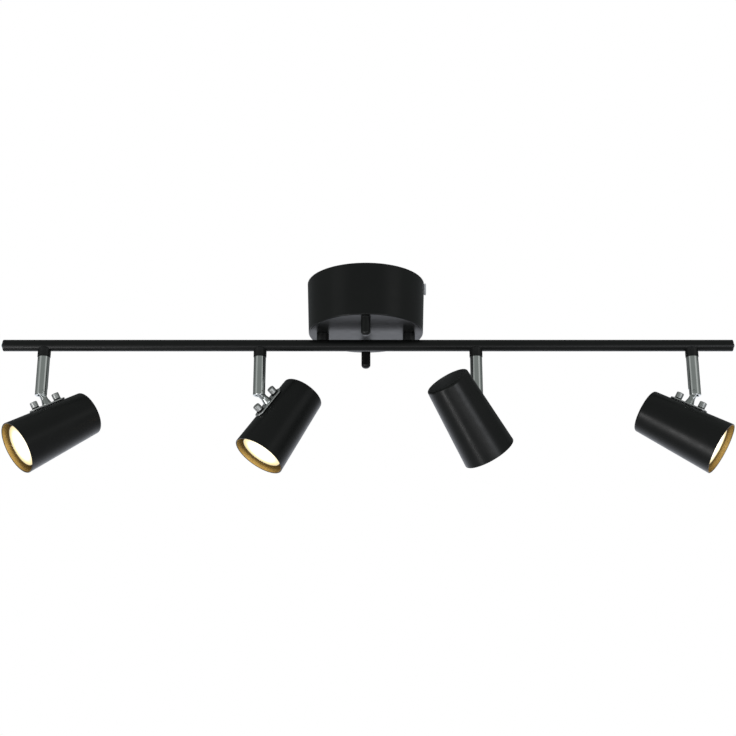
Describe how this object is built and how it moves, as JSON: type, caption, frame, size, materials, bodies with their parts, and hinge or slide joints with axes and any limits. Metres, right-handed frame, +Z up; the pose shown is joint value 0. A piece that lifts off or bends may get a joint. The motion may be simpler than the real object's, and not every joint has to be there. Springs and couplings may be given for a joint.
{
  "type": "ceiling spotlight bar",
  "caption": "Straight ceiling spotlight bar with a round cup canopy and cone-shaped spot heads that swivel and tilt on short chrome rods",
  "frame": {"origin": "middle of the bracket's upper face, which lies on the ceiling", "axes": "+X along the bar, +Z up into the ceiling, -Y towards the room side that is seen first"},
  "size_m": [0.8504, 0.1373, 0.2275],
  "materials": {
    "satin_black": "satin",
    "black_plastic": "satin",
    "chrome": "polished",
    "zinc_steel": "satin",
    "grey_plastic": "satin",
    "white_plastic": "satin",
    "wire_sheath": "matte",
    "ceramic": "matte",
    "lamp_glass": "gloss",
    "gold_paint": "satin",
    "black_rubber": "matte"
  },
  "bodies": {
    "base": {"canopy": "satin_black", "ceiling_bracket": "zinc_steel", "cable_entry_insert": "grey_plastic", "terminal_block": "white_plastic", "bracket_stud_front": "zinc_steel", "bracket_stud_rear": "zinc_steel", "cap_nut_front": "satin_black", "cap_nut_rear": "satin_black", "bar": "satin_black", "bar_wiring": "wire_sheath", "feed_lead": "wire_sheath", "spacer_left": "satin_black", "spacer_right": "satin_black", "hollow_screw_left": "zinc_steel", "hollow_screw_right": "zinc_steel", "end_cap_left": "black_plastic", "end_cap_right": "black_plastic", "end_screw_left": "chrome", "end_screw_right": "chrome", "collar_1": "satin_black", "collar_2": "satin_black", "collar_3": "satin_black", "collar_4": "satin_black"},
    "arm_1": {"rod_1": "chrome", "knee_pin_1": "chrome"},
    "head_1": {"knee_foot_1": "chrome", "mounting_plate_1": "chrome", "thumb_screw_1_front": "chrome", "thumb_screw_1_rear": "chrome", "shade_1": "satin_black", "lamp_holder_1": "ceramic", "lamp_1": "lamp_glass"},
    "arm_2": {"rod_2": "chrome", "knee_pin_2": "chrome"},
    "head_2": {"knee_foot_2": "chrome", "mounting_plate_2": "chrome", "thumb_screw_2_front": "chrome", "thumb_screw_2_rear": "chrome", "shade_2": "satin_black", "lamp_holder_2": "ceramic", "lamp_2": "lamp_glass"},
    "arm_3": {"rod_3": "chrome", "knee_pin_3": "chrome"},
    "head_3": {"knee_foot_3": "chrome", "mounting_plate_3": "chrome", "thumb_screw_3_front": "chrome", "thumb_screw_3_rear": "chrome", "shade_3": "satin_black", "lamp_holder_3": "ceramic", "lamp_3": "lamp_glass"},
    "arm_4": {"rod_4": "chrome", "knee_pin_4": "chrome"},
    "head_4": {"knee_foot_4": "chrome", "mounting_plate_4": "chrome", "thumb_screw_4_front": "chrome", "thumb_screw_4_rear": "chrome", "shade_4": "satin_black", "lamp_holder_4": "ceramic", "lamp_4": "lamp_glass"}
  },
  "joints": [
    {"name": "pan_1", "type": "hinge", "parent": "base", "child": "arm_1", "pos_m": [-0.3725, 0, -0.1], "axis": [0, 0, 1], "range_deg": [-25, 325]},
    {"name": "tilt_1", "type": "hinge", "parent": "arm_1", "child": "head_1", "pos_m": [-0.3725, 0, -0.1325], "axis": [0.5, -0.866, 0], "range_deg": [-33.5, 56.5]},
    {"name": "pan_2", "type": "hinge", "parent": "base", "child": "arm_2", "pos_m": [-0.1225, 0, -0.1], "axis": [0, 0, 1], "range_deg": [-36, 314]},
    {"name": "tilt_2", "type": "hinge", "parent": "arm_2", "child": "head_2", "pos_m": [-0.1225, 0, -0.1325], "axis": [0.6561, -0.7547, 0], "range_deg": [-58.5, 31.5]},
    {"name": "pan_3", "type": "hinge", "parent": "base", "child": "arm_3", "pos_m": [0.1275, 0, -0.1], "axis": [0, 0, 1], "range_deg": [-235.5, 114.5]},
    {"name": "tilt_3", "type": "hinge", "parent": "arm_3", "child": "head_3", "pos_m": [0.1275, 0, -0.1325], "axis": [-0.8704, 0.4924, 0], "range_deg": [-48, 42]},
    {"name": "pan_4", "type": "hinge", "parent": "base", "child": "arm_4", "pos_m": [0.3775, 0, -0.1], "axis": [0, 0, 1], "range_deg": [-155, 195]},
    {"name": "tilt_4", "type": "hinge", "parent": "arm_4", "child": "head_4", "pos_m": [0.3775, 0, -0.1325], "axis": [0.342, 0.9397, 0], "range_deg": [-32.5, 57.5]}
  ]
}
